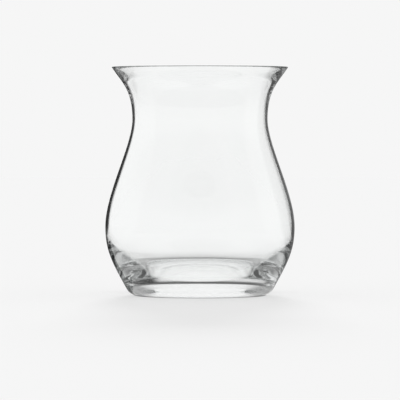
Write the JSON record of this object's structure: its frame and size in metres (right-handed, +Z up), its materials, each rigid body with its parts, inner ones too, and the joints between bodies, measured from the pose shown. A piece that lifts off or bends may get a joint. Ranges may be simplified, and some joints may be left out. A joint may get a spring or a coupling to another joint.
{
  "type": "posy vase",
  "caption": "Clear glass posy vase with a heavy rounded base, full belly, drawn-in waist and flared flat-cut mouth, for short stemmed flowers in water.",
  "frame": {"origin": "centre of the foot ring, on the plane that the vase stands on", "axes": "+Z up along the axis of revolution, from the foot to the mouth; X and Y are interchangeable"},
  "size_m": [0.141, 0.141, 0.17],
  "materials": {
    "clear_glass": "fire-polished clear glass with a ground and polished lip"
  },
  "bodies": {
    "root": {"glass_vessel": "clear_glass"}
  },
  "joints": []
}
